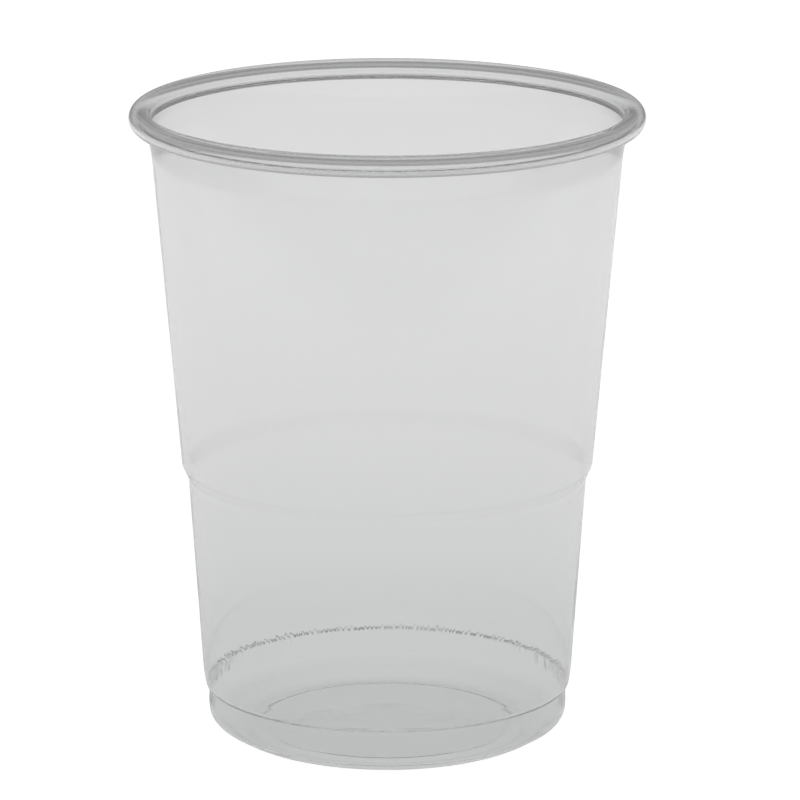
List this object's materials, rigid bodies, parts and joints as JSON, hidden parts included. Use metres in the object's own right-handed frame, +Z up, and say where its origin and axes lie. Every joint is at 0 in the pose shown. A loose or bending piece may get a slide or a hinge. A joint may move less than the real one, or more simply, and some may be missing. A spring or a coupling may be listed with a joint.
{
  "type": "plastic tasting cup",
  "caption": "Small round clear plastic cup with a tapered stepped wall, a rolled rim, a stacking ledge above the foot and a recessed base.",
  "frame": {"origin": "centre of the standing ring at the bottom of the cup, on the table plane", "axes": "+Z up along the axis of the cup towards its mouth; +X and +Y are free because the cup is round"},
  "size_m": [0.057, 0.057, 0.0713],
  "materials": {
    "clear_plastic": "see-through thin formed sheet, slightly hazy, smooth and glossy"
  },
  "bodies": {
    "root": {"cup": "clear_plastic"}
  },
  "joints": []
}
